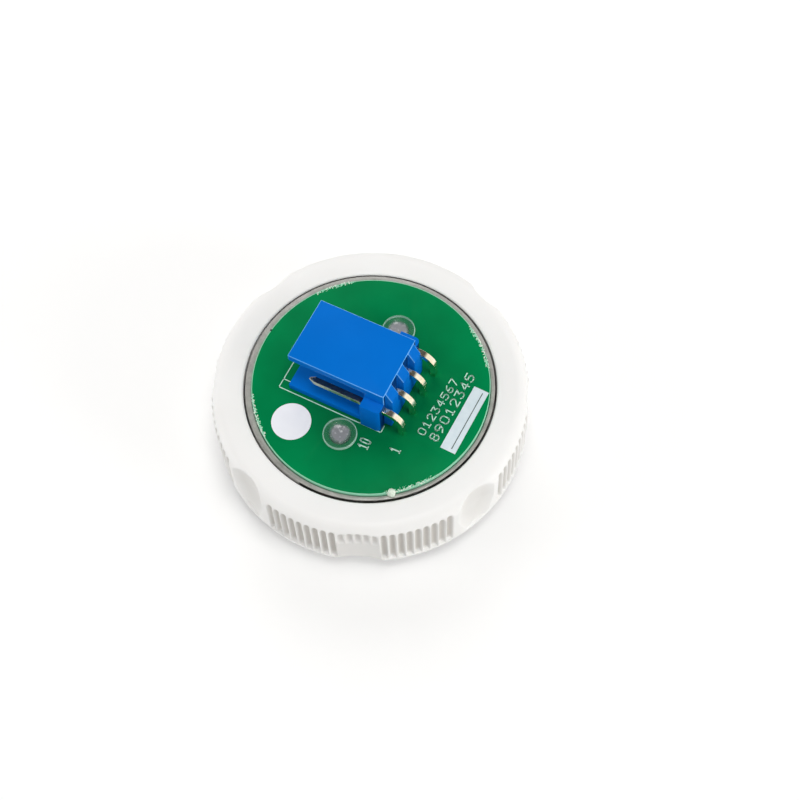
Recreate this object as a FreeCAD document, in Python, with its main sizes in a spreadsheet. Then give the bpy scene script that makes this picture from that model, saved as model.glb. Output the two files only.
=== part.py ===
import FreeCAD, Part
import math
import os
import Sketcher

# Round lift push button, seen from behind in its usual resting place: front face down, connector up.
# Millimetres. The origin is on the button's axis at the front face, +Z points to the rear (connector) side.

V = FreeCAD.Vector
doc = FreeCAD.newDocument("LiftPushButton")
sheet = doc.addObject("Spreadsheet::Sheet", "Sizes")

DRIVING_SIZES = {
    # running clearances and seats
    "seat_gap": 0.02,
    "slide_gap": 0.15,
    "thread_gap": 0.2,
    "stop_gap": 0.1,
    "contact_gap": 0.05,
    # push cap, face plate and return spring
    "cap_radius": 11.2,
    "cap_thickness": 1.4,
    "cap_web": 1.3,
    "cap_flange_lap": 0.35,
    "cap_flange_thickness": 0.7,
    "cap_skirt_wall": 1.2,
    "key_count": 3,
    "key_width": 1.8,
    "key_depth": 0.3,
    "stem_radius": 2.2,
    "press_travel": 0.8,
    "plate_recess": 0.4,
    "plate_thickness": 0.5,
    "plate_margin": 0.2,
    "plate_edge": 0.12,
    "spring_radius": 3.7,
    "spring_wire": 0.32,
    "spring_turns": 3,
    # halo ring and front bezel
    "halo_wall": 0.65,
    "halo_recess": 0.25,
    "halo_flange": 0.5,
    "halo_flange_thickness": 0.5,
    "bezel_face": 0.6,
    "bezel_radius_step": 3.0,
    "bezel_wall": 0.7,
    "bezel_edge": 0.3,
    # clear housing
    "flange_thickness": 0.6,
    "pilot_step": 0.25,
    "pilot_length": 0.8,
    "barrel_wall": 1.08,
    "barrel_length": 7.61,
    "rim_wall": 0.34,
    "rim_height": 1.2,
    "board_seat": 1.0,
    "deck_thickness": 0.8,
    "deck_clearance": 0.3,
    "stake_clearance": 0.57,
    "post_radius": 1.0,
    "boss_radius": 1.7,
    "stake_radius": 1.8,
    "stake_height": 0.45,
    "stake_crown": 1.45,
    "stake_dish": 1.05,
    "stake_dish_depth": 0.2,
    # clamp ring
    "panel_gap": 1.5,
    "ring_height": 7.3,
    "ring_wall": 3.75,
    "ring_edge": 0.25,
    "wall_draft": 2,
    "foot_rim": 0.35,
    "shoulder_radius": 1.5,
    "shoulder_steps": 2,
    "rib_count": 120,
    "groove_depth": 0.34,
    "groove_width": 0.88,
    "scallop_count": 4,
    "scallop_radius": 10.5,
    "scallop_depth": 0.52,
    "scallop_turn": 22.5,
    "hollow_radius": 4,
    "hollow_depth": 0.9,
    # circuit board
    "board_gap": 0.1,
    "board_thickness": 1.6,
    "board_hole_gap": 0.1,
    "pin_hole_radius": 0.5,
    # connector header and its pins
    "pin_pitch": 2.5,
    "pin_size": 0.6,
    "pin_height": 3.3,
    "pin_reach": 6.17,
    "pin_bend": 1.75,
    "pin_tail": 1.2,
    "pin_taper": 0.6,
    "pin_tip": 0.2,
    "pin_row": 5.6,
    "tail_reach": 2.03,
    "header_length": 10.76,
    "header_width": 7.17,
    "header_height": 5.975,
    "header_plate": 0.95,
    "header_base": 0.9,
    "header_base_width": 8.7,
    "block_length": 2.2,
    "ear_width": 9.5,
    "ear_height": 4.3,
    "ear_round": 0.5,
    "gusset_width": 1.3,
    "gusset_reach": 0.78,
    "gusset_drop": 1.33,
    "sill_drop": 0.7,
    "solder_radius": 0.9,
    "solder_tip": 0.5,
    "solder_height": 0.8,
    # switch, lamps and chips on the front of the board
    "switch_side": 6.2,
    "switch_height": 2.5,
    "switch_cover": 0.2,
    "plunger_radius": 1.6,
    "plunger_spare": 0.2,
    "plunger_hidden": 0.9,
    "lead_width": 0.7,
    "lead_reach": 1.1,
    "lead_thickness": 0.2,
    "lead_spread": 4.4,
    "lamp_clearance": 0.55,
    "lamp_length": 2.8,
    "lamp_width": 2.2,
    "lamp_height": 1.0,
    "lamp_lip": 0.4,
    "lamp_cup_depth": 0.4,
    "chip_length": 1.6,
    "chip_width": 0.8,
    "chip_height": 0.45,
    "chip_offset": 6.0,
    "chip_gap": 0.4,
}


class Size:
    """A number and the sheet expression it comes from, kept together through sums and products."""

    def __init__(self, value, text):
        self.value = value
        self.text = text

    def _with(self, other, sign, flip=False):
        other = other if isinstance(other, Size) else Size(float(other), repr(float(other)))
        left, right = (other, self) if flip else (self, other)
        value = {
            "+": left.value + right.value,
            "-": left.value - right.value,
            "*": left.value * right.value,
        }[sign]
        return Size(value, "(%s %s %s)" % (left.text, sign, right.text))

    def __add__(self, other):
        return self._with(other, "+")

    def __sub__(self, other):
        return self._with(other, "-")

    def __rsub__(self, other):
        return self._with(other, "-", flip=True)

    def __mul__(self, other):
        return self._with(other, "*")

    def __neg__(self):
        return self * -1


for row, (alias, number) in enumerate(DRIVING_SIZES.items(), start=1):
    sheet.set("A%d" % row, alias)
    sheet.set("B%d" % row, str(number))
    sheet.setAlias("B%d" % row, alias)
doc.recompute()


def size(alias):
    return Size(float(sheet.get(alias)), "Sizes." + alias)


def half(value):
    return value * 0.5


ZERO = Size(0.0, "0")

# Heights along the axis, from the front face at zero
flange_rear = size("bezel_face") + size("flange_thickness")
pilot_rear = flange_rear + size("pilot_length")
ring_front = flange_rear + size("panel_gap")
ring_rear = ring_front + size("ring_height")
board_front = flange_rear + size("barrel_length")
board_rear = board_front + size("board_thickness")
switch_front = board_front - size("switch_height")
cover_front = switch_front - size("switch_cover")
deck_rear = cover_front - size("deck_clearance")
deck_front = deck_rear - size("deck_thickness")
cap_front = size("plate_recess") + size("plate_thickness")
cap_flange_front = cap_front + size("cap_thickness")
cap_flange_rear = cap_flange_front + size("cap_flange_thickness")
cap_web_rear = cap_front + size("cap_web")
plunger_front = cover_front - size("press_travel") - size("plunger_spare")
stem_rear = plunger_front - size("contact_gap")
halo_rear = cap_flange_front - size("stop_gap")
halo_flange_front = size("bezel_face") + size("seat_gap")
halo_flange_rear = halo_flange_front + size("halo_flange_thickness")
halo_seat = halo_flange_rear + size("seat_gap")

# Radii, from the cap outwards
halo_bore = size("cap_radius") + size("slide_gap")
halo_radius = halo_bore + size("halo_wall")
halo_flange_radius = halo_radius + size("halo_flange")
bezel_opening = halo_radius + size("stop_gap")
bezel_radius = halo_flange_radius + size("bezel_radius_step")
chamber_radius = halo_radius + size("seat_gap")
barrel_radius = chamber_radius + size("barrel_wall")
pilot_radius = barrel_radius + size("pilot_step")
flange_radius = bezel_radius - size("bezel_wall") - size("seat_gap")
rim_radius = barrel_radius - size("rim_wall")
board_radius = rim_radius - size("board_gap")
rear_chamber_radius = board_radius - size("board_seat")
cap_flange_radius = size("cap_radius") + size("cap_flange_lap")
key_radius = chamber_radius + size("key_depth")
ring_bore = barrel_radius + size("thread_gap")
ring_radius = ring_bore + size("ring_wall")

# Connector places along X, from the row of pin holes
header_rear = size("pin_row") - size("tail_reach")
header_front = header_rear - size("header_length")
block_front = header_rear - size("block_length")
gusset_rear = header_rear + size("gusset_reach")
pin_tip_x = block_front - size("pin_reach")
pin_axis = board_rear + size("pin_height")
stake_offset = half(size("header_base_width")) + size("stake_radius") + size("stake_clearance")
pin_offsets = [size("pin_pitch") * step for step in (-1.5, -0.5, 0.5, 1.5)]
gusset_offsets = [size("pin_pitch") * step for step in (-1, 0, 1)]


def origin_feature(body, role):
    return [item for item in body.Origin.OriginFeatures if item.Role == role][0]


def new_body(label):
    body = doc.addObject("PartDesign::Body", label)
    body.Label = label
    return body


def outline(body, name, role, points):
    """A closed polygon sketch on one of the body's own origin planes, each corner bound to the sheet."""
    sketch = body.newObject("Sketcher::SketchObject", name)
    sketch.AttachmentSupport = [(origin_feature(body, role), "")]
    sketch.MapMode = "FlatFace"
    count = len(points)
    for index, (x, y) in enumerate(points):
        next_x, next_y = points[(index + 1) % count]
        sketch.addGeometry(Part.LineSegment(V(x.value, y.value, 0), V(next_x.value, next_y.value, 0)))
    for index in range(count):
        sketch.addConstraint(Sketcher.Constraint("Coincident", index, 2, (index + 1) % count, 1))
    for index, corner in enumerate(points):
        for kind, place in zip(("DistanceX", "DistanceY"), corner):
            number = sketch.addConstraint(Sketcher.Constraint(kind, -1, 1, index, 1, place.value))
            sketch.setExpression("Constraints[%d]" % number, place.text)
    return sketch


def turned(label, points):
    """A body turned about the button's axis from corners given as (radius, height)."""
    body = new_body(label)
    sketch = outline(body, label + "_section", "XZ_Plane", points)
    turn = body.newObject("PartDesign::Revolution", label + "_turn")
    turn.Profile = sketch
    turn.ReferenceAxis = (sketch, ["V_Axis"])
    turn.Angle = 360
    body.Tip = turn
    return body


def bind(item, places):
    for place, value in places.items():
        item.setExpression(place, value.text)


def block(body, kind, name, low, high):
    """An added or cut box between two corners."""
    item = body.newObject("PartDesign::%sBox" % kind, name)
    bind(item, {
        "Length": high[0] - low[0],
        "Width": high[1] - low[1],
        "Height": high[2] - low[2],
        "Placement.Base.x": low[0],
        "Placement.Base.y": low[1],
        "Placement.Base.z": low[2],
    })
    return item


def rod(body, kind, name, centre, radius, low, high):
    """An added or cut cylinder along Z."""
    item = body.newObject("PartDesign::%sCylinder" % kind, name)
    bind(item, {
        "Radius": radius,
        "Height": high - low,
        "Placement.Base.x": centre[0],
        "Placement.Base.y": centre[1],
        "Placement.Base.z": low,
    })
    return item


def taper(body, kind, name, centre, low_radius, high_radius, low, high):
    """An added or cut cone along Z."""
    item = body.newObject("PartDesign::%sCone" % kind, name)
    bind(item, {
        "Radius1": low_radius,
        "Radius2": high_radius,
        "Height": high - low,
        "Placement.Base.x": centre[0],
        "Placement.Base.y": centre[1],
        "Placement.Base.z": low,
    })
    return item


def round_pattern(body, name, feature, count):
    doc.recompute()
    pattern = body.newObject("PartDesign::PolarPattern", name)
    pattern.Originals = [feature]
    pattern.Axis = (origin_feature(body, "Z_Axis"), [""])
    pattern.Angle = 360
    pattern.setExpression("Occurrences", count.text)
    body.Tip = pattern
    return pattern


def make_front_bezel():
    edge = size("bezel_edge")
    skirt = bezel_radius - size("bezel_wall")
    return turned("front_bezel", [
        (bezel_opening, ZERO),
        (bezel_radius - edge, ZERO),
        (bezel_radius, edge),
        (bezel_radius, flange_rear),
        (skirt, flange_rear),
        (skirt, size("bezel_face")),
        (bezel_opening, size("bezel_face")),
    ])


def make_halo_ring():
    return turned("halo_ring", [
        (halo_bore, size("halo_recess")),
        (halo_radius, size("halo_recess")),
        (halo_radius, halo_flange_front),
        (halo_flange_radius, halo_flange_front),
        (halo_flange_radius, halo_flange_rear),
        (halo_radius, halo_flange_rear),
        (halo_radius, halo_rear),
        (halo_bore, halo_rear),
    ])


def make_push_cap():
    skirt = cap_flange_radius - size("cap_skirt_wall")
    body = turned("push_cap", [
        (ZERO, cap_front),
        (size("cap_radius"), cap_front),
        (size("cap_radius"), cap_flange_front),
        (cap_flange_radius, cap_flange_front),
        (cap_flange_radius, cap_flange_rear),
        (skirt, cap_flange_rear),
        (skirt, cap_web_rear),
        (size("stem_radius"), cap_web_rear),
        (size("stem_radius"), stem_rear),
        (ZERO, stem_rear),
    ])
    side = half(size("key_width"))
    key_root = cap_flange_radius - half(size("cap_skirt_wall"))
    key = block(body, "Additive", "cap_key",
                (key_root, -side, cap_flange_front), (key_radius, side, cap_flange_rear))
    round_pattern(body, "cap_keys", key, size("key_count"))
    return body


def make_face_plate():
    radius = size("cap_radius") - size("plate_margin")
    edge = size("plate_edge")
    return turned("face_plate", [
        (ZERO, size("plate_recess")),
        (radius - edge, size("plate_recess")),
        (radius, size("plate_recess") + edge),
        (radius, cap_front),
        (ZERO, cap_front),
    ])


def make_housing():
    halo_pocket = halo_flange_radius + size("seat_gap")
    rim_top = board_front + size("rim_height")
    deck_bore = size("stem_radius") + size("slide_gap")
    body = turned("housing", [
        (halo_pocket, size("bezel_face")),
        (flange_radius, size("bezel_face")),
        (flange_radius, flange_rear),
        (pilot_radius, flange_rear),
        (pilot_radius, pilot_rear),
        (barrel_radius, pilot_rear),
        (barrel_radius, rim_top),
        (rim_radius, rim_top),
        (rim_radius, board_front),
        (rear_chamber_radius, board_front),
        (rear_chamber_radius, deck_rear),
        (deck_bore, deck_rear),
        (deck_bore, deck_front),
        (chamber_radius, deck_front),
        (chamber_radius, halo_seat),
        (halo_pocket, halo_seat),
    ])
    # Three slots in the bore guide the cap's keys over the whole press
    side = half(size("key_width")) + size("slide_gap")
    slot_end = cap_flange_rear + size("press_travel") + size("slide_gap")
    slot = block(body, "Subtractive", "key_slot",
                 (chamber_radius - size("key_depth"), -side, halo_seat),
                 (key_radius + size("slide_gap"), side, slot_end))
    round_pattern(body, "key_slots", slot, size("key_count"))
    # Two posts carry the board and are melted over it to dished heads
    crown = board_rear + size("stake_height")
    for name, sign in (("near", -1), ("far", 1)):
        centre = (ZERO, stake_offset * sign)
        rod(body, "Additive", name + "_boss", centre, size("boss_radius"), deck_front, board_front)
        rod(body, "Additive", name + "_post", centre, size("post_radius"), deck_front, board_rear)
        taper(body, "Additive", name + "_head", centre,
              size("stake_radius"), size("stake_crown"), board_rear, crown)
        taper(body, "Subtractive", name + "_dish", centre,
              half(size("stake_dish")), size("stake_dish"), crown - size("stake_dish_depth"), crown)
    return body


def make_clamp_ring():
    edge = size("ring_edge")
    shoulder = size("shoulder_radius")
    steps = int(size("shoulder_steps").value)
    slope = math.tan(math.radians(size("wall_draft").value))
    shoulder_wall = ring_radius - (size("ring_height") - shoulder) * slope
    rounding = []
    for step in range(steps + 1):
        turn = math.pi / 2 * step / steps
        rounding.append((shoulder_wall - shoulder + shoulder * math.cos(turn),
                         ring_rear - shoulder + shoulder * math.sin(turn)))
    body = turned("clamp_ring", [
        (ring_bore + edge, ring_front),
        (ring_radius, ring_front),
        *rounding,
        (ring_bore + edge, ring_rear),
        (ring_bore, ring_rear - edge),
        (ring_bore, ring_front + edge),
    ])
    # Straight flutes follow the wall's draft from the plain foot rim and run out on the rounded shoulder
    rim_rear = ring_front + size("foot_rim")
    depth = size("groove_depth")
    sketch = outline(body, "flute_section", "XY_Plane", [
        (-depth, ZERO),
        (depth, -size("groove_width")),
        (depth, size("groove_width")),
    ])
    sketch.AttachmentOffset.Rotation = FreeCAD.Rotation(V(0, 1, 0), -size("wall_draft").value)
    bind(sketch, {
        "AttachmentOffset.Base.x": ring_radius,
        "AttachmentOffset.Base.z": rim_rear,
        "AttachmentOffset.Rotation.Angle": -size("wall_draft"),
    })
    flute = body.newObject("PartDesign::Pocket", "flute")
    flute.Profile = sketch
    flute.Reversed = True
    flute.setExpression("Length", size("ring_height").text)
    round_pattern(body, "flutes", flute, size("rib_count"))
    # Wide shallow scallops cut the whole wall, and narrow hollows between them stop at the foot rim
    scallop_middle = ring_radius - size("scallop_depth") + size("scallop_radius")
    scallop = rod(body, "Subtractive", "scallop", (scallop_middle, ZERO), size("scallop_radius"),
                  ring_front, ring_rear)
    round_pattern(body, "scallops", scallop, size("scallop_count"))
    between = math.pi / size("scallop_count").value
    hollow_middle = ring_radius - size("hollow_depth") + size("hollow_radius")
    hollow = rod(body, "Subtractive", "hollow",
                 (hollow_middle * math.cos(between), hollow_middle * math.sin(between)),
                 size("hollow_radius"), rim_rear, ring_rear)
    round_pattern(body, "hollows", hollow, size("scallop_count"))
    body.Placement.Rotation = FreeCAD.Rotation(V(0, 0, 1), size("scallop_turn").value)
    body.setExpression("Placement.Rotation.Angle", size("scallop_turn").text)
    return body


def make_circuit_board():
    body = new_body("circuit_board")
    rod(body, "Additive", "board_disc", (ZERO, ZERO), board_radius, board_front, board_rear)
    post_hole = size("post_radius") + size("board_hole_gap")
    for name, sign in (("near", -1), ("far", 1)):
        centre = (ZERO, stake_offset * sign)
        rod(body, "Subtractive", name + "_post_hole", centre, post_hole, board_front, board_rear)
    for number, offset in enumerate(pin_offsets, start=1):
        rod(body, "Subtractive", "pin_hole_%d" % number, (size("pin_row"), offset),
            size("pin_hole_radius"), board_front, board_rear)
    return body


def make_connector_header():
    body = new_body("connector_header")
    base_side = half(size("header_base_width"))
    plate_side = half(size("header_width"))
    ear_side = half(size("ear_width"))
    top = board_rear + size("header_height")
    block(body, "Additive", "header_base",
          (header_front, -base_side, board_rear), (header_rear, base_side, board_rear + size("header_base")))
    block(body, "Additive", "ear_block",
          (block_front, -ear_side, board_rear), (header_rear, ear_side, board_rear + size("ear_height")))
    doc.recompute()
    ears = body.Tip
    corners = ["Edge%d" % (index + 1) for index, edge in enumerate(ears.Shape.Edges)
               if abs(edge.CenterOfMass.x - header_rear.value) < 1e-4
               and abs(abs(edge.CenterOfMass.y) - ear_side.value) < 1e-4]
    rounding = body.newObject("PartDesign::Fillet", "ear_rounding")
    rounding.Base = (ears, corners)
    rounding.setExpression("Radius", size("ear_round").text)
    block(body, "Additive", "rear_wall",
          (block_front, -plate_side, board_rear), (header_rear, plate_side, top))
    block(body, "Additive", "top_plate",
          (header_front, -plate_side, top - size("header_plate")), (header_rear, plate_side, top))
    # Behind the rear wall a low sill runs under the pins, with a sloping gusset in each gap between them
    block(body, "Additive", "rear_sill",
          (header_rear, -plate_side, board_rear), (gusset_rear, plate_side, pin_axis - size("sill_drop")))
    for number, offset in enumerate(gusset_offsets, start=1):
        sketch = outline(body, "gusset_side_%d" % number, "XZ_Plane", [
            (header_rear, board_rear),
            (gusset_rear, board_rear),
            (gusset_rear, top - size("gusset_drop")),
            (header_rear, top),
        ])
        sketch.setExpression("AttachmentOffset.Base.z", (-offset).text)
        gusset = body.newObject("PartDesign::Pad", "gusset_%d" % number)
        gusset.Profile = sketch
        gusset.setExpression("Length", size("gusset_width").text)
        gusset.SideType = "Symmetric"
    # Every pin passes a square hole in the rear block
    hole = half(size("pin_size")) + size("seat_gap")
    for number, offset in enumerate(pin_offsets, start=1):
        block(body, "Subtractive", "pin_passage_%d" % number,
              (block_front, offset - hole, pin_axis - hole), (header_rear, offset + hole, pin_axis + hole))
    return body


def make_contact_pin(number, offset):
    label = "contact_pin_%d" % number
    body = new_body(label)
    side = half(size("pin_size"))
    tip = half(size("pin_tip"))
    row = size("pin_row")
    tail = board_front - size("pin_tail")
    taper_end = pin_tip_x + size("pin_taper")
    sketch = outline(body, label + "_side", "XZ_Plane", [
        (pin_tip_x, pin_axis - tip),
        (taper_end, pin_axis - side),
        (row - side, pin_axis - side),
        (row - side, tail),
        (row + side, tail),
        (row + side, pin_axis + side),
        (taper_end, pin_axis + side),
        (pin_tip_x, pin_axis + tip),
    ])
    pad = body.newObject("PartDesign::Pad", label + "_pad")
    pad.Profile = sketch
    pad.setExpression("Length", size("pin_size").text)
    pad.SideType = "Symmetric"
    doc.recompute()
    bends = (("inner", -1, size("pin_bend") - side), ("outer", 1, size("pin_bend") + side))
    for name, shift, radius in bends:
        base = body.Tip
        corner = V((row + side * shift).value, 0, (pin_axis + side * shift).value)
        edges = ["Edge%d" % (index + 1) for index, edge in enumerate(base.Shape.Edges)
                 if edge.CenterOfMass.isEqual(corner, 1e-4)]
        bend = body.newObject("PartDesign::Fillet", "%s_%s_bend" % (label, name))
        bend.Base = (base, edges)
        bend.setExpression("Radius", radius.text)
        doc.recompute()
    body.setExpression("Placement.Base.y", offset.text)
    return body


def make_pin_solder():
    joints = []
    hole = half(size("pin_size")) + size("seat_gap")
    tip = board_front - size("solder_height")
    for number, offset in enumerate(pin_offsets, start=1):
        cone = doc.addObject("Part::Cone", "solder_cone_%d" % number)
        bind(cone, {
            "Radius1": size("solder_tip"),
            "Radius2": size("solder_radius"),
            "Height": size("solder_height"),
            "Placement.Base.x": size("pin_row"),
            "Placement.Base.y": offset,
            "Placement.Base.z": tip,
        })
        passage = doc.addObject("Part::Box", "solder_passage_%d" % number)
        bind(passage, {
            "Length": hole * 2,
            "Width": hole * 2,
            "Height": size("solder_height"),
            "Placement.Base.x": size("pin_row") - hole,
            "Placement.Base.y": offset - hole,
            "Placement.Base.z": tip,
        })
        joint = doc.addObject("Part::Cut", "solder_joint_%d" % number)
        joint.Base = cone
        joint.Tool = passage
        joints.append(joint)
    group = doc.addObject("Part::Compound", "pin_solder")
    group.Label = "pin_solder"
    group.Links = joints
    return group


def make_switch_body():
    body = new_body("switch_body")
    side = half(size("switch_side"))
    bore = size("plunger_radius") + size("slide_gap")
    bore_end = switch_front + size("plunger_hidden") + size("press_travel") + size("slide_gap")
    block(body, "Additive", "switch_case", (-side, -side, switch_front), (side, side, board_front))
    rod(body, "Subtractive", "plunger_bore", (ZERO, ZERO), bore, switch_front, bore_end)
    return body


def make_switch_cover():
    body = new_body("switch_cover")
    side = half(size("switch_side"))
    bore = size("plunger_radius") + size("slide_gap")
    block(body, "Additive", "cover_sheet", (-side, -side, cover_front), (side, side, switch_front))
    rod(body, "Subtractive", "cover_hole", (ZERO, ZERO), bore, cover_front, switch_front)
    return body


def make_switch_plunger():
    body = new_body("switch_plunger")
    rod(body, "Additive", "plunger_rod", (ZERO, ZERO), size("plunger_radius"),
        plunger_front, switch_front + size("plunger_hidden"))
    return body


def make_switch_leads():
    leads = []
    side = half(size("switch_side"))
    for index, (x_sign, y_sign) in enumerate(((-1, -1), (-1, 1), (1, -1), (1, 1)), start=1):
        lead = doc.addObject("Part::Box", "switch_lead_%d" % index)
        inner = side * x_sign
        middle = half(size("lead_spread")) * y_sign
        low_x = inner if x_sign > 0 else inner - size("lead_reach")
        bind(lead, {
            "Length": size("lead_reach"),
            "Width": size("lead_width"),
            "Height": size("lead_thickness"),
            "Placement.Base.x": low_x,
            "Placement.Base.y": middle - half(size("lead_width")),
            "Placement.Base.z": board_front - size("lead_thickness"),
        })
        leads.append(lead)
    group = doc.addObject("Part::Compound", "switch_leads")
    group.Label = "switch_leads"
    group.Links = leads
    return group


def make_lamp(number, x_sign, y_sign):
    label = "led_%d" % number
    body = new_body(label)
    long_side = half(size("lamp_length"))
    short_side = half(size("lamp_width"))
    x = (rear_chamber_radius * math.sqrt(0.5) - long_side - size("lamp_clearance")) * x_sign
    y = (pin_offsets[-1] + size("solder_radius") + size("lamp_clearance") + short_side) * y_sign
    lip = size("lamp_lip")
    front = board_front - size("lamp_height")
    block(body, "Additive", label + "_case",
          (x - long_side, y - short_side, front), (x + long_side, y + short_side, board_front))
    block(body, "Subtractive", label + "_cup",
          (x - long_side + lip, y - short_side + lip, front),
          (x + long_side - lip, y + short_side - lip, front + size("lamp_cup_depth")))
    return body


def make_chip_resistors():
    chips = []
    pitch = size("chip_length") + size("chip_gap")
    for index in range(4):
        chip = doc.addObject("Part::Box", "chip_%d" % (index + 1))
        bind(chip, {
            "Length": size("chip_width"),
            "Width": size("chip_length"),
            "Height": size("chip_height"),
            "Placement.Base.x": -size("chip_offset") - half(size("chip_width")),
            "Placement.Base.y": pitch * (index - 2) + half(size("chip_gap")),
            "Placement.Base.z": board_front - size("chip_height"),
        })
        chips.append(chip)
    group = doc.addObject("Part::Compound", "chip_resistors")
    group.Label = "chip_resistors"
    group.Links = chips
    return group


def make_return_spring():
    """A coil lofted through six-sided wire sections, ten to a turn."""
    wire = half(size("spring_wire")).value
    start = cap_web_rear.value + wire + size("contact_gap").value
    end = deck_front.value - wire - size("contact_gap").value
    turns = size("spring_turns").value
    sections_per_turn = 10
    wire_sides = 6
    stations = int(turns * sections_per_turn)
    sections = []
    for station in range(stations + 1):
        angle = 2 * math.pi * turns * station / stations
        outward = V(math.cos(angle), math.sin(angle), 0)
        centre = outward * size("spring_radius").value + V(0, 0, (end - start) * station / stations)
        corners = []
        for side in range(wire_sides + 1):
            turn = 2 * math.pi * side / wire_sides
            corners.append(centre + outward * (wire * math.cos(turn)) + V(0, 0, wire * math.sin(turn)))
        sections.append(Part.makePolygon(corners))
    spring = doc.addObject("Part::Feature", "return_spring")
    spring.Label = "return_spring"
    spring.Shape = Part.makeLoft(sections, True, True)
    spring.Placement = FreeCAD.Placement(V(0, 0, start), FreeCAD.Rotation())
    return spring


pieces = [
    make_front_bezel(),
    make_halo_ring(),
    make_push_cap(),
    make_face_plate(),
    make_return_spring(),
    make_housing(),
    make_clamp_ring(),
    make_circuit_board(),
    make_connector_header(),
    make_pin_solder(),
    make_switch_body(),
    make_switch_cover(),
    make_switch_plunger(),
    make_switch_leads(),
    make_chip_resistors(),
]
for number, offset in enumerate(pin_offsets, start=1):
    pieces.append(make_contact_pin(number, offset))
for number, (x_sign, y_sign) in enumerate(((1, 1), (-1, 1), (-1, -1), (1, -1)), start=1):
    pieces.append(make_lamp(number, x_sign, y_sign))

doc.recompute()
for item in doc.Objects:
    if "Invalid" in item.State or "Error" in item.State:
        raise RuntimeError("%s failed: %s" % (item.Name, item.State))
for piece in pieces:
    if piece.Shape.isNull() or not piece.Shape.isValid():
        raise RuntimeError("%s has no valid shape" % piece.Label)

os.makedirs("parts", exist_ok=True)
for piece in pieces:
    piece.Shape.exportStep("parts/%s.step" % piece.Label)
    print("%-18s solids %d  volume %9.3f mm3" % (piece.Label, len(piece.Shape.Solids), piece.Shape.Volume))
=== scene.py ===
import bmesh
import bpy
import math
import random
from mathutils import Matrix, Vector


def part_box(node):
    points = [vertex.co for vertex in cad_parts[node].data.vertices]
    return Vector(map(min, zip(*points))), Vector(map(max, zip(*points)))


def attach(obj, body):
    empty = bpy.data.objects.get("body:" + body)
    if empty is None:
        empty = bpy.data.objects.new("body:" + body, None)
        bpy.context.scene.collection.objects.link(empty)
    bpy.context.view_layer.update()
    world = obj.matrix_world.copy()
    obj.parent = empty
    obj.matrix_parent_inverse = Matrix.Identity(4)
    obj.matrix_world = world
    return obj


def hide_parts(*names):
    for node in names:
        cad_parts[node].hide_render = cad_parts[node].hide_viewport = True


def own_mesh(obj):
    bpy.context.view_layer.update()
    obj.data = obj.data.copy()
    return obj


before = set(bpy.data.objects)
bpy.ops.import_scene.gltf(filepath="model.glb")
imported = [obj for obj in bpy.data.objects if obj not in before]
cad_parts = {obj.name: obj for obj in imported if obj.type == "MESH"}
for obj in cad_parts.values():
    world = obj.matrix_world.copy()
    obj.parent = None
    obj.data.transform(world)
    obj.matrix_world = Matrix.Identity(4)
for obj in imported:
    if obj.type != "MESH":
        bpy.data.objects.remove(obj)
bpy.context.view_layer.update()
print("frame loaded,", len(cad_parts), "nodes")

mm = 0.001        # shapes are modelled in millimetres and scaled to metres when they become a piece
mergeGap = 0.001  # corners nearer than this, in millimetres, are one


def nodeBox(node):
    low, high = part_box(node)
    return low / mm, high / mm


boardLow, boardHigh = nodeBox("circuit_board")
ringLow, ringHigh = nodeBox("clamp_ring")
boardTop = boardHigh.z
boardRadius = boardHigh.x


# Shared mesh tools

def newPiece(name, bm, body, finishes, nodes=(), sharpAngle=35):
    bmesh.ops.scale(bm, vec=(mm, mm, mm), verts=bm.verts[:])
    mesh = bpy.data.meshes.new(name)
    bm.to_mesh(mesh)
    bm.free()
    for finish in finishes:
        mesh.materials.append(finish)
    mesh.shade_smooth()
    mesh.set_sharp_from_angle(angle=math.radians(sharpAngle))
    piece = bpy.data.objects.new(name, mesh)
    bpy.context.scene.collection.objects.link(piece)
    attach(piece, body)
    if nodes:
        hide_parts(*nodes)
    return piece


def outlineWire(points, roundings):
    bm = bmesh.new()  # a closed outline of (radius, height) corners, some of them rounded
    corners = [bm.verts.new((radius, 0, height)) for radius, height in points]
    for one, two in zip(corners, corners[1:] + corners[:1]):
        bm.edges.new((one, two))
    for index, (radius, segments) in roundings.items():
        bmesh.ops.bevel(bm, geom=[corners[index]], offset=radius, offset_type="OFFSET",
                        segments=segments, profile=0.5, affect="VERTICES", material=-1)
    return bm


def splitTall(bm, nearRadius, cuts, minHeight=2, within=0.5):
    tall = [e for e in bm.edges if abs(e.verts[0].co.z - e.verts[1].co.z) > minHeight
            and all(abs(v.co.x - nearRadius) < within for v in e.verts)]
    bmesh.ops.subdivide_edges(bm, edges=tall, cuts=cuts)


def spinWire(bm, steps):
    bmesh.ops.spin(bm, geom=bm.verts[:] + bm.edges[:], cent=(0, 0, 0), axis=(0, 0, 1),
                   angle=2 * math.pi, steps=steps, use_merge=True)
    bmesh.ops.remove_doubles(bm, verts=bm.verts[:], dist=mergeGap)
    bmesh.ops.recalc_face_normals(bm, faces=bm.faces[:])


def nodeShape(node, flatWithin=1):
    bm = bmesh.new()  # a merged copy of a CAD node, flat faces joined
    bm.from_mesh(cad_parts[node].data)
    bmesh.ops.scale(bm, vec=(1 / mm, 1 / mm, 1 / mm), verts=bm.verts[:])
    bmesh.ops.remove_doubles(bm, verts=bm.verts[:], dist=2 * mergeGap)
    bmesh.ops.dissolve_limit(bm, angle_limit=math.radians(flatWithin), verts=bm.verts[:], edges=bm.edges[:])
    return bm


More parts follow.
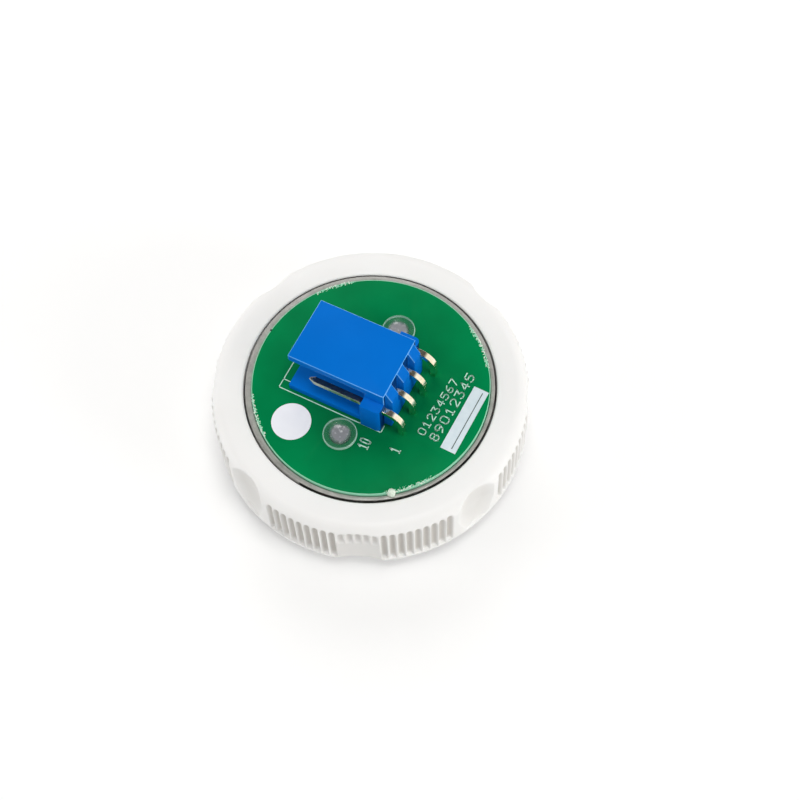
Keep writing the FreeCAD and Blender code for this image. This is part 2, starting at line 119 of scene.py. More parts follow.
def softenEdges(bm, width, segments, above=-1, minAngle=30):
    sharp = [e for e in bm.edges
             if len(e.link_faces) == 2 and e.calc_face_angle(0) > math.radians(minAngle)
             and min(v.co.z for v in e.verts) > above]
    eased = bmesh.ops.bevel(bm, geom=sharp, offset=width, offset_type="OFFSET", segments=segments,
                            profile=0.5, affect="EDGES", clamp_overlap=True, material=-1)
    return eased["faces"]


def softMin(one, two, blend):
    near = max(blend - abs(one - two), 0) / blend
    return min(one, two) - near * near * blend / 4


# Shared surface effects

def newGroup(name, inputs, outputs):
    group = bpy.data.node_groups.new(name, "ShaderNodeTree")
    for label, kind, value in inputs:
        socket = group.interface.new_socket(name=label, in_out="INPUT", socket_type=kind)
        socket.default_value = value
    for label, kind in outputs:
        group.interface.new_socket(name=label, in_out="OUTPUT", socket_type=kind)
    nodes = group.nodes
    return group, nodes.new("NodeGroupInput"), nodes.new("NodeGroupOutput")


def grainGroup():
    group, given, made = newGroup(
        "fineGrain",
        [("Grain Size", "NodeSocketFloat", 0.2), ("Cloud Size", "NodeSocketFloat", 3.0)],
        [("Grain", "NodeSocketFloat"), ("Cloud", "NodeSocketFloat")])
    place = group.nodes.new("ShaderNodeTexCoord")
    for label, source, detail in (("Grain", "Grain Size", 3.0), ("Cloud", "Cloud Size", 4.0)):
        scale = group.nodes.new("ShaderNodeMath")
        scale.operation = "DIVIDE"
        scale.inputs[0].default_value = 1 / mm
        noise = group.nodes.new("ShaderNodeTexNoise")
        noise.inputs["Detail"].default_value = detail
        group.links.new(given.outputs[source], scale.inputs[1])
        group.links.new(scale.outputs[0], noise.inputs["Scale"])
        group.links.new(place.outputs["Object"], noise.inputs["Vector"])
        group.links.new(noise.outputs["Fac"], made.inputs[label])
    return group


def rimGroup():
    group, given, made = newGroup(
        "fromAxis",
        [("Inner", "NodeSocketFloat", 10.0), ("Outer", "NodeSocketFloat", 12.0),
         ("Middle", "NodeSocketVector", (0, 0, 0))],
        [("Fade", "NodeSocketFloat"), ("Radius", "NodeSocketFloat"), ("Turn", "NodeSocketFloat")])
    nodes, links = group.nodes, group.links
    place = nodes.new("ShaderNodeTexCoord")
    flat = nodes.new("ShaderNodeVectorMath")
    flat.operation = "MULTIPLY"
    flat.inputs[1].default_value = (1 / mm, 1 / mm, 0)
    aside = nodes.new("ShaderNodeVectorMath")
    aside.operation = "SUBTRACT"
    length = nodes.new("ShaderNodeVectorMath")
    length.operation = "LENGTH"
    fade = nodes.new("ShaderNodeMapRange")
    turn = nodes.new("ShaderNodeTexGradient")
    turn.gradient_type = "RADIAL"
    links.new(place.outputs["Object"], flat.inputs[0])
    links.new(flat.outputs[0], aside.inputs[0])
    links.new(given.outputs["Middle"], aside.inputs[1])
    links.new(aside.outputs[0], length.inputs[0])
    links.new(length.outputs["Value"], fade.inputs["Value"])
    links.new(given.outputs["Inner"], fade.inputs["From Min"])
    links.new(given.outputs["Outer"], fade.inputs["From Max"])
    links.new(place.outputs["Object"], turn.inputs["Vector"])
    links.new(fade.outputs["Result"], made.inputs["Fade"])
    links.new(length.outputs["Value"], made.inputs["Radius"])
    links.new(turn.outputs["Fac"], made.inputs["Turn"])
    return group


fineGrain = grainGroup()
fromAxis = rimGroup()


def newFinish(name, sockets):
    finish = bpy.data.materials.new(name)
    finish.use_nodes = True
    shader = finish.node_tree.nodes["Principled BSDF"]
    for label, value in sockets.items():
        shader.inputs[label].default_value = value
    return finish, finish.node_tree, shader


def placeGroup(tree, group, values):
    node = tree.nodes.new("ShaderNodeGroup")
    node.node_tree = group
    for label, value in values.items():
        node.inputs[label].default_value = value
    return node


def mixColours(tree, factor, one, two):
    mix = tree.nodes.new("ShaderNodeMix")
    mix.data_type = "RGBA"
    tree.links.new(factor, mix.inputs["Factor"])
    for index, colour in ((6, one), (7, two)):
        if isinstance(colour, bpy.types.NodeSocket):
            tree.links.new(colour, mix.inputs[index])
        else:
            mix.inputs[index].default_value = (*colour, 1)
    return mix.outputs[2]


def spread(tree, value, low, high, fromLow=0.3, fromHigh=0.7):
    span = tree.nodes.new("ShaderNodeMapRange")
    span.inputs["From Min"].default_value = fromLow
    span.inputs["From Max"].default_value = fromHigh
    span.inputs["To Min"].default_value = low
    span.inputs["To Max"].default_value = high
    tree.links.new(value, span.inputs["Value"])
    return span.outputs["Result"]


def calc(tree, operation, one, two):
    node = tree.nodes.new("ShaderNodeMath")
    node.operation = operation
    for index, value in enumerate((one, two)):
        if isinstance(value, bpy.types.NodeSocket):
            tree.links.new(value, node.inputs[index])
        else:
            node.inputs[index].default_value = value
    return node.outputs[0]


def addBump(tree, shader, height, depth):
    bump = tree.nodes.new("ShaderNodeBump")
    bump.inputs["Strength"].default_value = 1.0
    bump.inputs["Distance"].default_value = depth * mm
    tree.links.new(height, bump.inputs["Height"])
    tree.links.new(bump.outputs["Normal"], shader.inputs["Normal"])


def surfaceFinish(name, light, dark, rough, grain=0.2, cloud=3.0, bump=0.004, sockets=None):
    finish, tree, shader = newFinish(name, sockets or {})  # colour clouds, uneven gloss and a fine grain
    texture = placeGroup(tree, fineGrain, {"Grain Size": grain, "Cloud Size": cloud})
    cloudShare = spread(tree, texture.outputs["Cloud"], 0, 1)
    tree.links.new(mixColours(tree, cloudShare, light, dark), shader.inputs["Base Color"])
    tree.links.new(spread(tree, texture.outputs["Grain"], *rough), shader.inputs["Roughness"])
    if bump:
        addBump(tree, shader, texture.outputs["Grain"], bump)
    return finish


# Finishes

finishes = {
    "headerBlue": surfaceFinish(
        "headerBlue", (0.0, 0.155, 0.62), (0.0, 0.145, 0.585), (0.4, 0.5), grain=0.1, cloud=4, bump=0.002,
        sockets={"Specular IOR Level": 0.03}),
    # painted highlight: a lighter blue for the top plate's eased edges
    "headerEdgeHighlight": surfaceFinish(
        "headerEdgeHighlight", (0.12, 0.43, 0.9), (0.07, 0.35, 0.84), (0.22, 0.32), grain=0.1, cloud=2, bump=0.002,
        sockets={"Specular IOR Level": 0.5}),
    "headerShade": surfaceFinish(
        "headerShade", (0.0, 0.045, 0.2), (0.0, 0.03, 0.13), (0.5, 0.6), grain=0.1, cloud=1.5, bump=0.002,
        sockets={"Specular IOR Level": 0.03}),
    "pinGold": surfaceFinish(
        "pinGold", (0.98, 0.93, 0.78), (0.9, 0.78, 0.52), (0.1, 0.18), grain=0.15, cloud=0.8, bump=0.001,
        sockets={"Metallic": 1.0}),
    "pinTin": surfaceFinish(
        "pinTin", (0.86, 0.83, 0.76), (0.74, 0.7, 0.6), (0.3, 0.42), grain=0.12, cloud=0.8, bump=0.001,
        sockets={"Metallic": 1.0}),
    "inkWhite": surfaceFinish(
        "inkWhite", (0.57, 0.81, 0.69), (0.44, 0.71, 0.58), (0.5, 0.65), grain=0.08, cloud=0.5, bump=0.003),
    "barWhite": surfaceFinish(
        "barWhite", (0.7, 0.79, 0.83), (0.62, 0.73, 0.77), (0.45, 0.6), grain=0.1, cloud=0.8, bump=0.003),
    # painted shade: the clear barrel's rim and its last thread turn are drawn as opaque grey
    "rimShadeGrey": surfaceFinish(
        "rimShadeGrey", (0.42, 0.41, 0.38), (0.3, 0.295, 0.275), (0.22, 0.4), grain=0.3, cloud=0.8, bump=0.006),
    "dotWhite": surfaceFinish(
        "dotWhite", (0.84, 0.855, 0.9), (0.8, 0.815, 0.87), (0.45, 0.6), grain=0.1, cloud=2, bump=0.002),
    "scribeDark": surfaceFinish(
        "scribeDark", (0.03, 0.05, 0.04), (0.06, 0.09, 0.07), (0.5, 0.7), grain=0.1, cloud=0.6),
    "glassFibre": surfaceFinish(
        "glassFibre", (0.84, 0.88, 0.78), (0.62, 0.78, 0.64), (0.5, 0.8), grain=0.06, cloud=0.3, bump=0.02),
    "haloMilky": surfaceFinish(
        "haloMilky", (0.9, 0.91, 0.93), (0.86, 0.88, 0.9), (0.25, 0.35), grain=0.1, cloud=3, bump=0.001,
        sockets={"Subsurface Weight": 0.5, "Subsurface Scale": 1.0 * mm}),
    "capWhite": surfaceFinish(
        "capWhite", (0.85, 0.85, 0.84), (0.8, 0.8, 0.79), (0.4, 0.52), grain=0.12, cloud=5, bump=0.002),
    "springSteel": surfaceFinish(
        "springSteel", (0.62, 0.62, 0.64), (0.5, 0.5, 0.52), (0.2, 0.32), grain=0.1, cloud=1, bump=0.001,
        sockets={"Metallic": 1.0}),
    "solderTin": surfaceFinish(
        "solderTin", (0.78, 0.79, 0.8), (0.66, 0.67, 0.69), (0.18, 0.35), grain=0.15, cloud=0.5, bump=0.006,
        sockets={"Metallic": 1.0}),
    "switchBlack": surfaceFinish(
        "switchBlack", (0.025, 0.025, 0.027), (0.04, 0.04, 0.042), (0.45, 0.6), grain=0.1, cloud=2),
    "plungerGrey": surfaceFinish(
        "plungerGrey", (0.2, 0.2, 0.22), (0.16, 0.16, 0.18), (0.4, 0.55), grain=0.1, cloud=1),
    "chipBlack": surfaceFinish(
        "chipBlack", (0.04, 0.04, 0.05), (0.07, 0.07, 0.08), (0.3, 0.45), grain=0.08, cloud=0.4),
    "lampWhite": surfaceFinish(
        "lampWhite", (0.88, 0.87, 0.8), (0.84, 0.8, 0.62), (0.3, 0.45), grain=0.08, cloud=0.6, bump=0.002),
}

brushedSteel = {
    "light": (0.76, 0.76, 0.77),
    "dark": (0.6, 0.6, 0.615),
    "rough": (0.2, 0.4),
    "line": 0.14,               # width and length of the brush lines
    "length": 9.0,
    "depth": 0.003,
}


def makeBrushedSteel(name, cfg, turned):
    finish, tree, shader = newFinish(name, {"Metallic": 1.0})
    lines = tree.nodes.new("ShaderNodeTexNoise")
    lines.inputs["Detail"].default_value = 3.0
    if turned:
        lathe = placeGroup(tree, fromAxis, {})
        lines.noise_dimensions = "1D"
        lines.inputs["Scale"].default_value = 1 / cfg["line"]
        tree.links.new(lathe.outputs["Radius"], lines.inputs["W"])
    else:
        place = tree.nodes.new("ShaderNodeTexCoord")
        stretch = tree.nodes.new("ShaderNodeMapping")
        stretch.inputs["Scale"].default_value = (1 / cfg["length"] / mm, 1 / cfg["line"] / mm, 1 / mm)
        lines.inputs["Scale"].default_value = 1.0
        tree.links.new(place.outputs["Object"], stretch.inputs["Vector"])
        tree.links.new(stretch.outputs["Vector"], lines.inputs["Vector"])
    shade = spread(tree, lines.outputs["Fac"], 0, 1)
    tree.links.new(mixColours(tree, shade, cfg["light"], cfg["dark"]), shader.inputs["Base Color"])
    tree.links.new(spread(tree, lines.outputs["Fac"], *cfg["rough"]), shader.inputs["Roughness"])
    addBump(tree, shader, lines.outputs["Fac"], cfg["depth"])
    return finish


finishes["plateSteel"] = makeBrushedSteel("plateSteel", brushedSteel, False)
finishes["bezelSteel"] = makeBrushedSteel("bezelSteel", brushedSteel, True)

clearPlastic = {
    "tint": (0.93, 0.95, 0.95),
    "smudge": (0.84, 0.87, 0.87),
    "rough": (0.03, 0.12),
    "index": 1.5,
}


def makeClear(cfg):
    return surfaceFinish(
        "clearPlastic", cfg["tint"], cfg["smudge"], cfg["rough"], grain=0.4, cloud=2, bump=0.004,
        sockets={"Transmission Weight": 1.0, "IOR": cfg["index"]})


finishes["clear"] = makeClear(clearPlastic)

ringFinish = {
    "light": (0.895, 0.892, 0.88),
    "dark": (0.875, 0.87, 0.855),
    "dustAndShade": (0.47, 0.44, 0.395),        # dust and painted shade in the flutes
    "grooveShare": 0.8,
    "rough": (0.38, 0.5),
    "gloss": 0.35,
    "grain": 0.12,
    "cloud": 6.0,
    "bump": 0.002,
    "skinShare": 0.08,                    # light that goes under the surface
    "skinColour": (1.0, 0.9, 0.8),
    "skinDepth": 0.3,
}


def makeRingWhite(cfg):
    finish, tree, shader = newFinish("ringWhite", {
        "Specular IOR Level": cfg["gloss"], "Subsurface Weight": cfg["skinShare"],
        "Subsurface Radius": cfg["skinColour"], "Subsurface Scale": cfg["skinDepth"] * mm})
    texture = placeGroup(tree, fineGrain, {"Grain Size": cfg["grain"], "Cloud Size": cfg["cloud"]})
    plastic = mixColours(tree, spread(tree, texture.outputs["Cloud"], 0, 1), cfg["light"], cfg["dark"])
    # this attribute darkens the colour: dust and painted shade in the flutes, painted shade on the scallops
    # and in the hollows
    dustAndShade = tree.nodes.new("ShaderNodeAttribute")
    dustAndShade.attribute_name = "dustAndShade"
    shadeShare = calc(tree, "MULTIPLY", dustAndShade.outputs["Fac"], cfg["grooveShare"])
    tree.links.new(mixColours(tree, shadeShare, plastic, cfg["dustAndShade"]), shader.inputs["Base Color"])
    tree.links.new(spread(tree, texture.outputs["Grain"], *cfg["rough"]), shader.inputs["Roughness"])
    addBump(tree, shader, texture.outputs["Grain"], cfg["bump"])
    return finish


finishes["ringWhite"] = makeRingWhite(ringFinish)

boardFinish = {
    "radius": 12.5,                       # the board lies a little off the middle of its seat
    "middle": (0.14, -0.05, 0),
    "mask": (0.0, 0.15, 0.046),           # green solder mask at the middle
    "maskRimLight": (0.0, 0.235, 0.072),       # painted light: brighter towards the rim
    "maskCloud": (0.0, 0.12, 0.036),
    "bare": (0.3, 0.66, 0.46),            # bare laminate along the edge
    "bareWidth": 0.09,
    "bareRough": 0.3,
    "frayWidth": 0.3,
    "frayFade": 1.5,                      # degrees at each end of a frayed stretch
    "frayFrom": (0.45, 0.65),
    "frayGrain": 0.22,
    "gloss": 0.02,
    "rough": (0.34, 0.44),
    "rimFrom": 3.0,
    "grain": 0.3,
    "cloud": 5.0,
    "cloudShare": 0.4,
    "bump": 0.003,
    # turns, in degrees, where the edge was broken out of its panel
    "frays": ((126, 145), (33, 58), (213, 237), (304, 328)),
}


def makeBoardGreen(cfg):
    finish, tree, shader = newFinish("boardGreen", {"Specular IOR Level": cfg["gloss"]})
    texture = placeGroup(tree, fineGrain, {"Grain Size": cfg["grain"], "Cloud Size": cfg["cloud"]})
    ragged = placeGroup(tree, fineGrain, {"Grain Size": cfg["frayGrain"]})
    rim = placeGroup(tree, fromAxis, {
        "Inner": cfg["rimFrom"], "Outer": cfg["radius"], "Middle": cfg["middle"]})
    # painted light: the green brightens from the middle out to the rim
    green = mixColours(tree, rim.outputs["Fade"], cfg["mask"], cfg["maskRimLight"])
    cloud = spread(tree, texture.outputs["Cloud"], 0, cfg["cloudShare"])
    clouded = mixColours(tree, cloud, green, cfg["maskCloud"])
    frayed = tree.nodes.new("ShaderNodeValToRGB")
    ramp = frayed.color_ramp
    ramp.interpolation = "LINEAR"
    ramp.elements[0].color = (0, 0, 0, 1)
    ramp.elements[1].color = (0, 0, 0, 1)
    fade = cfg["frayFade"]
    for start, end in cfg["frays"]:
        for angle, shade in ((start - fade, 0), (start + fade, 1), (end - fade, 1), (end + fade, 0)):
            stop = ramp.elements.new(((angle + 180) / 360) % 1)
            stop.color = (shade, shade, shade, 1)
    tree.links.new(rim.outputs["Turn"], frayed.inputs["Fac"])
    bite = calc(tree, "MULTIPLY", frayed.outputs["Color"],
                spread(tree, ragged.outputs["Grain"], 0, cfg["frayWidth"], *cfg["frayFrom"]))
    width = calc(tree, "ADD", bite, cfg["bareWidth"])
    reach = calc(tree, "ADD", rim.outputs["Radius"], width)
    bare = calc(tree, "GREATER_THAN", reach, cfg["radius"])
    tree.links.new(mixColours(tree, bare, clouded, cfg["bare"]), shader.inputs["Base Color"])
    gloss = spread(tree, texture.outputs["Grain"], *cfg["rough"])
    rough = calc(tree, "ADD", gloss, calc(tree, "MULTIPLY", bare, cfg["bareRough"]))
    tree.links.new(rough, shader.inputs["Roughness"])
    addBump(tree, shader, texture.outputs["Grain"], cfg["bump"])
    return finish


finishes["boardGreen"] = makeBoardGreen(boardFinish)

stakeFinish = {
    "offset": 6.72,                       # the two posts stand this far from the axis
    "clear": (0.12, 0.34, 0.22),
    # painted highlight: a bright line round the head's rim
    "rimHighlight": (0.55, 0.84, 0.72),
    # frosted melt, its grey also a painted shade of the dark post below
    "frostAndShade": (0.3, 0.31, 0.325),
    "glintWhite": (0.8, 0.82, 0.83),
    "frostRadius": 1.0,
    "rimRadius": 1.68,
    "clearAlpha": 0.12,
    "rimAlpha": 0.6,
    "frostAlpha": 0.78,
    "frostRagged": 0.1,
    "frostFade": 0.2,
    "rimFade": 0.05,
    "glint": (0.58, 0.74),
    "gloss": 0.6,
    "rough": (0.1, 0.3),
    "grain": 0.35,
    "cloud": 0.8,
    "bump": 0.02,
}


def makeStakeClear(cfg):
    finish, tree, shader = newFinish("stakeClear", {"Specular IOR Level": cfg["gloss"]})
    place = tree.nodes.new("ShaderNodeTexCoord")
    split = tree.nodes.new("ShaderNodeSeparateXYZ")
    tree.links.new(place.outputs["Object"], split.inputs[0])
    across = calc(tree, "SUBTRACT", calc(tree, "ABSOLUTE", split.outputs["Y"], 0), cfg["offset"] * mm)
    radius = calc(tree, "SQRT", calc(tree, "ADD", calc(tree, "MULTIPLY", across, across),
                                     calc(tree, "MULTIPLY", split.outputs["X"], split.outputs["X"])), 0)
    radius = calc(tree, "DIVIDE", radius, mm)
    texture = placeGroup(tree, fineGrain, {"Grain Size": cfg["grain"], "Cloud Size": cfg["cloud"]})
    stray = spread(tree, texture.outputs["Cloud"], -cfg["frostRagged"], cfg["frostRagged"])
    ragged = calc(tree, "ADD", radius, stray)
    frostFrom, frostTo = cfg["frostRadius"] - cfg["frostFade"], cfg["frostRadius"] + cfg["frostFade"]
    rimFrom, rimTo = cfg["rimRadius"] - cfg["rimFade"], cfg["rimRadius"] + cfg["rimFade"]
    frosted = spread(tree, ragged, 1, 0, frostFrom, frostTo)
    rimmed = spread(tree, radius, 0, 1, rimFrom, rimTo)
    # painted glints: white specks in the frosted centre
    glint = spread(tree, texture.outputs["Grain"], 0, 1, *cfg["glint"])
    frostAndShade = mixColours(tree, glint, cfg["frostAndShade"], cfg["glintWhite"])
    ring = mixColours(tree, rimmed, cfg["clear"], cfg["rimHighlight"])
    tree.links.new(mixColours(tree, frosted, ring, frostAndShade), shader.inputs["Base Color"])
    ringAlpha = spread(tree, rimmed, cfg["clearAlpha"], cfg["rimAlpha"], 0, 1)
    frostAlpha = calc(tree, "MULTIPLY", frosted, cfg["frostAlpha"])
    tree.links.new(calc(tree, "MAXIMUM", ringAlpha, frostAlpha), shader.inputs["Alpha"])
    tree.links.new(spread(tree, texture.outputs["Grain"], *cfg["rough"]), shader.inputs["Roughness"])
    addBump(tree, shader, texture.outputs["Grain"], cfg["bump"])
    return finish


finishes["stakeClear"] = makeStakeClear(stakeFinish)
print("finishes made,", len(finishes))


# Clamp ring: a turned ring, then fluted, scalloped and threaded by moving its rows

clampRing = {
    "bore": 13.3,
    "wallDraft": 2.0,           # degrees: the wall leans in towards the shoulder
    "footRim": 0.35,            # plain rim below the flutes and hollows
    "rimStep": 0.02,
    "shoulder": 1.5,
    "shoulderSegments": 14,
    "edge": 0.25,
    "edgeSegments": 4,
    "footEdge": 0.08,
    "footSegments": 2,
    "footShadeFade": 0.8,           # above the rim the flutes' dust and painted shade grow in over this height
    "wallCuts": 22,
    "boreCuts": 18,
    "flutes": 120,
    "fluteSteps": 10,
    "fluteDepth": 0.4,
    "fluteShare": 0.82,
    "fluteEnd": (8.9, 9.55),    # the flutes run out over the shoulder
    "grips": 4,                 # four wide scallops, with four narrow hollows between them
    "firstScallop": 22.5,
    "scallopRadius": 10.5,
    "scallopDepth": 0.52,
    # painted shade on the scallops' faces
    "scallopShade": 0.3,
    "scallopClear": 7.5,        # degrees to each side without full flutes
    "hollowRadius": 4.2,
    "hollowDepth": (0.4, 1.15),  # at the foot and from hollowFull up
    "hollowFull": 6.6,
    # painted shade in the hollows, darker where they are deeper
    "hollowPaintedShade": 0.36,
    "hollowShade": 0.7,         # depth at which a hollow's painted shade is darkest
    "hollowClear": 10.5,
    "combFrom": 6.6,            # above this the flutes cut into the scallops too
    "combFade": 1.1,
    "combDepth": 0.26,
    "blend": 0.05,
    "threadPitch": 1.5,
    "threadDepth": 0.16,
}


def fromGrip(cfg, turn, first):
    every = 360 / cfg["grips"]  # degrees from the middle of the nearest grip
    return (turn - first + every / 2) % every - every / 2


def hollowTurn(cfg):
    return cfg["firstScallop"] + 180 / cfg["grips"]  # halfway between two scallops


def roundCut(reach, cfg, turn, first, radius, depth):
    aside = math.radians(fromGrip(cfg, turn, first))
    middle = ringHigh.x - depth + radius
    sideways = middle * math.sin(aside)
    if abs(sideways) < radius:
        cut = middle * math.cos(aside) - math.sqrt(radius ** 2 - sideways ** 2)
        reach = softMin(reach, cut, cfg["blend"])
    return reach


def ringWall(cfg, height):
    return ringHigh.x - (height - ringLow.z) * math.tan(math.radians(cfg["wallDraft"]))


def ringReach(cfg, turn, height, fluted):
    wall = ringWall(cfg, height)
    foot = ringLow.z + cfg["footRim"]
    aboveRim = height > foot
    firstHollow = hollowTurn(cfg)
    flute = 0
    if fluted and aboveRim and abs(fromGrip(cfg, turn, firstHollow)) > cfg["hollowClear"]:
        across = (turn - cfg["firstScallop"]) * cfg["flutes"] / 360
        share = 2 * abs(across - round(across)) / cfg["fluteShare"]
        runOut = (cfg["fluteEnd"][1] - height) / (cfg["fluteEnd"][1] - cfg["fluteEnd"][0])
        flute = math.sqrt(max(1 - share * share, 0)) * min(max(runOut, 0), 1)
    plain = roundCut(wall, cfg, turn, cfg["firstScallop"], cfg["scallopRadius"], cfg["scallopDepth"])
    comb = min(max((height - cfg["combFrom"]) / cfg["combFade"], 0), 1)
    full = flute if abs(fromGrip(cfg, turn, cfg["firstScallop"])) > cfg["scallopClear"] else 0
    combed = plain - cfg["combDepth"] * comb * flute
    reach = softMin(combed, wall - cfg["fluteDepth"] * full, cfg["blend"])
    if aboveRim:
        shallow, deep = cfg["hollowDepth"]
        depth = shallow + (deep - shallow) * min((height - foot) / (cfg["hollowFull"] - foot), 1)
        reach = roundCut(reach, cfg, turn, firstHollow, cfg["hollowRadius"], depth)
    return reach


def makeClampRing(cfg):
    low, high, rim = ringLow.z, ringHigh.z, ringLow.z + cfg["footRim"]
    below, above = rim - cfg["rimStep"], rim + cfg["rimStep"]
    bm = outlineWire(
        [(cfg["bore"], low), (ringWall(cfg, low), low), (ringWall(cfg, below), below),
         (ringWall(cfg, above), above), (ringWall(cfg, high), high), (cfg["bore"], high)],
        {0: (cfg["edge"], cfg["edgeSegments"]), 1: (cfg["footEdge"], cfg["footSegments"]),
         4: (cfg["shoulder"], cfg["shoulderSegments"]), 5: (cfg["edge"], cfg["edgeSegments"])})
    splitTall(bm, ringHigh.x, cfg["wallCuts"])
    splitTall(bm, cfg["bore"], cfg["boreCuts"])
    spinWire(bm, cfg["flutes"] * cfg["fluteSteps"])
    dustAndShade = bm.verts.layers.float.new("dustAndShade")
    for vert in bm.verts:
        radius = math.hypot(vert.co.x, vert.co.y)
        turn = math.degrees(math.atan2(vert.co.y, vert.co.x))
        if radius > ringHigh.x - 2 * cfg["shoulder"]:
            plain = softMin(radius, ringReach(cfg, turn, vert.co.z, False), cfg["blend"])
            reach = softMin(radius, ringReach(cfg, turn, vert.co.z, True), cfg["blend"])
            aboveFoot = min(max((vert.co.z - rim) / cfg["footShadeFade"], 0), 1)
            # scallop faces and hollows get painted shade through the same attribute as the flutes
            scallop = roundCut(math.inf, cfg, turn, cfg["firstScallop"], cfg["scallopRadius"],
                               cfg["scallopDepth"])
            shadeShare = cfg["scallopShade"] if abs(reach - scallop) < cfg["blend"] else 0
            if abs(fromGrip(cfg, turn, hollowTurn(cfg))) < cfg["hollowClear"]:
                shadeShare = cfg["hollowPaintedShade"] * min((radius - reach) / cfg["hollowShade"], 1)
            vert[dustAndShade] = max((plain - reach) / cfg["fluteDepth"] * aboveFoot, shadeShare)
        elif radius < cfg["bore"] + mergeGap:
            wave = math.cos(2 * math.pi * (vert.co.z / cfg["threadPitch"] - turn / 360))
            reach = radius + cfg["threadDepth"] * (0.5 + 0.5 * wave)
        else:
            continue
        vert.co.x *= reach / radius
        vert.co.y *= reach / radius
    newPiece("clampRing", bm, "ring", [finishes["ringWhite"]], ["clamp_ring"], sharpAngle=50)


makeClampRing(clampRing)
print("clamp ring made")


# Clear housing: the moulded barrel, its outer thread and the two melted stake heads

clearHousing = {
    "edge": 0.06,
    "edgeSegments": 2,
    "easedAbove": 1.25,         # the flange's edges lie hidden inside the bezel
    "cutBelow": 0.2,            # posts are cut this far below the board's top
    "rimFrom": 8.9,             # above this the barrel is opaque grey: painted shade
    "rimInner": 12.0,
    "seatRadius": 12.76,
    "seatBand": 0.05,
    "seatGap": 0.08,
    "seatBelow": 0.2,
    "barrel": 13.1,
    "threadPitch": 1.5,
    "threadCrest": 0.1,
    "threadRoot": 0.06,
    "threadShare": 0.32,
    "crestShare": 0.3,
    "threadFrom": 2.6,
    "threadTo": 9.7,
    "threadGrey": 8.3,          # the last turn is opaque grey with the rim: painted shade
    "threadSteps": 90,
}


def boardReach(turn):
    aside = Vector(boardFinish["middle"]).xy  # from the axis to the board's edge
    along = Vector((math.cos(turn), math.sin(turn)))
    forward = aside.dot(along)
    return forward + math.sqrt(boardFinish["radius"] ** 2 - aside.length_squared + forward ** 2)


def fitToBoard(bm, fromRadius, toRadius, gap, low):
    for vert in bm.verts:
        radius = math.hypot(vert.co.x, vert.co.y)
        if fromRadius < radius < toRadius and vert.co.z > low:
            reach = boardReach(math.atan2(vert.co.y, vert.co.x)) + gap
            vert.co.x *= reach / radius
            vert.co.y *= reach / radius


def makeClearHousing(cfg):
    bm = nodeShape("housing")
    whole = bm.verts[:] + bm.edges[:] + bm.faces[:]
    level = boardTop - cfg["cutBelow"]
    bmesh.ops.bisect_plane(bm, geom=whole, dist=mergeGap, plane_co=(0, 0, level), plane_no=(0, 0, 1),
                           clear_outer=True)
    bmesh.ops.holes_fill(bm, edges=[e for e in bm.edges if e.is_boundary], sides=0)
    seat, band = cfg["seatRadius"], cfg["seatBand"]
    fitToBoard(bm, seat - band, seat + band, cfg["seatGap"], cfg["rimFrom"] - cfg["seatBelow"])
    softenEdges(bm, cfg["edge"], cfg["edgeSegments"], cfg["easedAbove"])
    for face in bm.faces:
        middle = face.calc_center_median()
        corner = face.verts[0].co
        if middle.z > cfg["rimFrom"] and math.hypot(corner.x, corner.y) > cfg["rimInner"]:
            face.material_index = 1
    newPiece("clearHousing", bm, "base", [finishes["clear"], finishes["rimShadeGrey"]], ["housing"])


def makeBarrelThread(cfg):
    half = cfg["threadPitch"] * cfg["threadShare"]
    root, crest = cfg["barrel"] - cfg["threadRoot"], cfg["barrel"] + cfg["threadCrest"]
    flat = half * cfg["crestShare"]
    section = [(root, -half), (crest, -flat), (crest, flat), (root, half)]
    bm = outlineWire([(radius, height + cfg["threadFrom"]) for radius, height in section], {})
    turns = (cfg["threadTo"] - cfg["threadFrom"]) / cfg["threadPitch"]
    steps = int(turns * cfg["threadSteps"])
    bmesh.ops.contextual_create(bm, geom=bm.edges[:])
    bmesh.ops.spin(bm, geom=bm.faces[:], cent=(0, 0, 0), axis=(0, 0, 1), angle=2 * math.pi * turns,
                   steps=steps, dvec=(0, 0, cfg["threadPitch"] * turns / steps))
    bmesh.ops.recalc_face_normals(bm, faces=bm.faces[:])
    for face in bm.faces:
        face.material_index = 1 if face.calc_center_median().z > cfg["threadGrey"] else 0
    newPiece("barrelThread", bm, "base", [finishes["clear"], finishes["rimShadeGrey"]])


makeClearHousing(clearHousing)
makeBarrelThread(clearHousing)

stakeHeads = {
    "seat": 0.02,
    "radius": 1.8,
    "height": 0.42,
    "lean": 0.06,
    "rimRound": 0.14,
    "dishRadius": 1.2,
    "dishDepth": 0.2,
    "dishFloor": 0.72,          # share of the dish's radius that its floor takes
    "dishCrown": 0.2,
    "rounds": ((0.08, 2), (0.12, 4), (0.15, 4)),  # foot, dish edge and dish floor
    "rimSegments": 5,
    "steps": 64,
    "melt": 0.06,
    "meltAbove": 0.1,
    "seed": 7,
}


